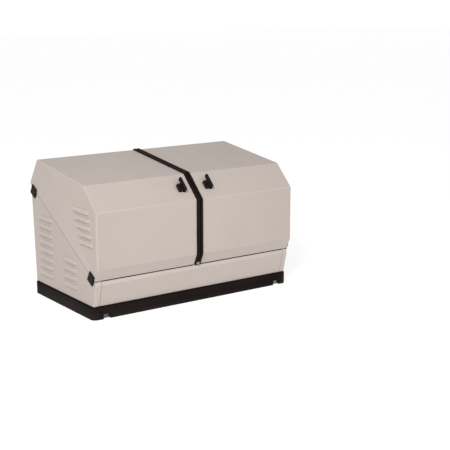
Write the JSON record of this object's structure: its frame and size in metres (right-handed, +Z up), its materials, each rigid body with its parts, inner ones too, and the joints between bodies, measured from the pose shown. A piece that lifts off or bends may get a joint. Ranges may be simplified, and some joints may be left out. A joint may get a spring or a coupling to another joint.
{
  "type": "home standby generator",
  "caption": "Standby generator: sheet-metal housing with clamshell lids, latches and louvres on a moulded base, with engine, alternator, muffler, battery and controls inside.",
  "frame": {"origin": "centre of the bounding box's bottom face, on the ground", "axes": "+X along the length towards the fan end, -Y towards the front with the latches, +Z up"},
  "size_m": [1.258, 0.7464, 0.7592],
  "materials": {
    "beige_paint": "satin powder coat",
    "black_moulding": "fine texture",
    "black_rubber": "matt",
    "zinc_steel": "zinc plated",
    "dark_paint": "satin",
    "cast_alloy": "cast",
    "exhaust_steel": "heat tinted",
    "iron": "machined",
    "battery_case": "moulded",
    "display_glass": "gloss",
    "brass": "satin"
  },
  "bodies": {
    "enclosure": {"base": "black_moulding", "end_panel_left": "beige_paint", "end_panel_right": "beige_paint", "rear_panel": "beige_paint", "front_panel": "beige_paint", "centre_arch": "beige_paint", "centre_trim": "black_moulding", "lid_seals": "black_rubber", "corner_caps": "black_rubber", "hinge_leaves_body": "zinc_steel", "hinge_pins": "zinc_steel", "panel_screws": "zinc_steel", "engine_rails": "dark_paint", "isolators": "black_rubber", "crankcase": "cast_alloy", "cylinders": "cast_alloy", "cylinder_heads": "cast_alloy", "valve_covers": "dark_paint", "blower_housing": "dark_paint", "air_cleaner": "black_moulding", "intake_mixer": "cast_alloy", "oil_filter": "dark_paint", "starter_motor": "dark_paint", "stator_housing": "cast_alloy", "stator_core": "iron", "exhaust_pipes": "exhaust_steel", "muffler": "exhaust_steel", "heat_baffle": "zinc_steel", "battery_tray": "black_moulding", "battery": "battery_case", "battery_strap": "black_rubber", "control_stand": "dark_paint", "control_box": "dark_paint", "control_panel": "black_moulding", "display_window": "display_glass", "breaker_body": "battery_case", "gas_regulator": "cast_alloy", "fuel_pipe": "brass", "fuel_inlet": "zinc_steel", "conduit_entry": "black_moulding"},
    "shaft_group": {"crankshaft": "iron", "flywheel_fan": "iron", "rotor": "iron"},
    "dipstick": {"dipstick": "black_moulding"},
    "mode_switch": {"mode_switch": "black_moulding"},
    "breaker_lever": {"breaker_lever": "black_moulding"},
    "lid_left": {"lid_left": "beige_paint", "hinge_leaves_left": "zinc_steel", "latch_base_left": "black_moulding"},
    "latch_left": {"latch_lever_left": "black_moulding", "latch_cam_left": "zinc_steel"},
    "strut_tube_left": {"strut_tube_left": "dark_paint"},
    "strut_rod_left": {"strut_rod_left": "zinc_steel"},
    "lid_right": {"lid_right": "beige_paint", "hinge_leaves_right": "zinc_steel", "latch_base_right": "black_moulding"},
    "latch_right": {"latch_lever_right": "black_moulding", "latch_cam_right": "zinc_steel"},
    "strut_tube_right": {"strut_tube_right": "dark_paint"},
    "strut_rod_right": {"strut_rod_right": "zinc_steel"}
  },
  "joints": [
    {"name": "lid_left_hinge", "type": "hinge", "parent": "enclosure", "child": "lid_left", "pos_m": [-0.32, 0.352, 0.604], "axis": [-1, 0, 0], "range_deg": [0, 50]},
    {"name": "latch_left_turn", "type": "hinge", "parent": "lid_left", "child": "latch_left", "pos_m": [-0.069, -0.32391, 0.61], "axis": [0, -0.6984, 0.7157], "range_deg": [-90, 0]},
    {"name": "strut_left_foot", "type": "hinge", "parent": "enclosure", "child": "strut_tube_left", "pos_m": [-0.588, 0.29887, 0.30874], "axis": [-1, 0, 0], "range_deg": [0, 25]},
    {"name": "strut_left_head", "type": "hinge", "parent": "lid_left", "child": "strut_rod_left", "pos_m": [-0.588, 0.06974, 0.50238], "axis": [-1, 0, 0], "range_deg": [-25, 0]},
    {"name": "lid_right_hinge", "type": "hinge", "parent": "enclosure", "child": "lid_right", "pos_m": [0.32, 0.352, 0.604], "axis": [-1, 0, 0], "range_deg": [0, 50]},
    {"name": "latch_right_turn", "type": "hinge", "parent": "lid_right", "child": "latch_right", "pos_m": [0.099, -0.32391, 0.61], "axis": [0, -0.6984, 0.7157], "range_deg": [-90, 0]},
    {"name": "strut_right_foot", "type": "hinge", "parent": "enclosure", "child": "strut_tube_right", "pos_m": [0.588, 0.29887, 0.30874], "axis": [-1, 0, 0], "range_deg": [0, 25]},
    {"name": "strut_right_head", "type": "hinge", "parent": "lid_right", "child": "strut_rod_right", "pos_m": [0.588, 0.06974, 0.50238], "axis": [-1, 0, 0], "range_deg": [-25, 0]},
    {"name": "shaft_spin", "type": "hinge", "parent": "enclosure", "child": "shaft_group", "pos_m": [0, 0.03, 0.3], "axis": [1, 0, 0], "continuous": true},
    {"name": "dipstick_pull", "type": "slide", "parent": "enclosure", "child": "dipstick", "axis": [0, -0.5, 0.866], "range_m": [0, 0.15]},
    {"name": "mode_switch_rock", "type": "hinge", "parent": "enclosure", "child": "mode_switch", "pos_m": [-0.105, -0.278, 0.485], "axis": [1, 0, 0], "range_deg": [-12, 12]},
    {"name": "breaker_throw", "type": "hinge", "parent": "enclosure", "child": "breaker_lever", "pos_m": [-0.115, -0.28, 0.4], "axis": [1, 0, 0], "range_deg": [0, 50]}
  ],
  "couplings": [
    {"joint": "strut_left_foot", "follows": "lid_left_hinge", "ratio": 0.5},
    {"joint": "strut_left_head", "follows": "lid_left_hinge", "ratio": -0.5},
    {"joint": "strut_right_foot", "follows": "lid_right_hinge", "ratio": 0.5},
    {"joint": "strut_right_head", "follows": "lid_right_hinge", "ratio": -0.5}
  ]
}
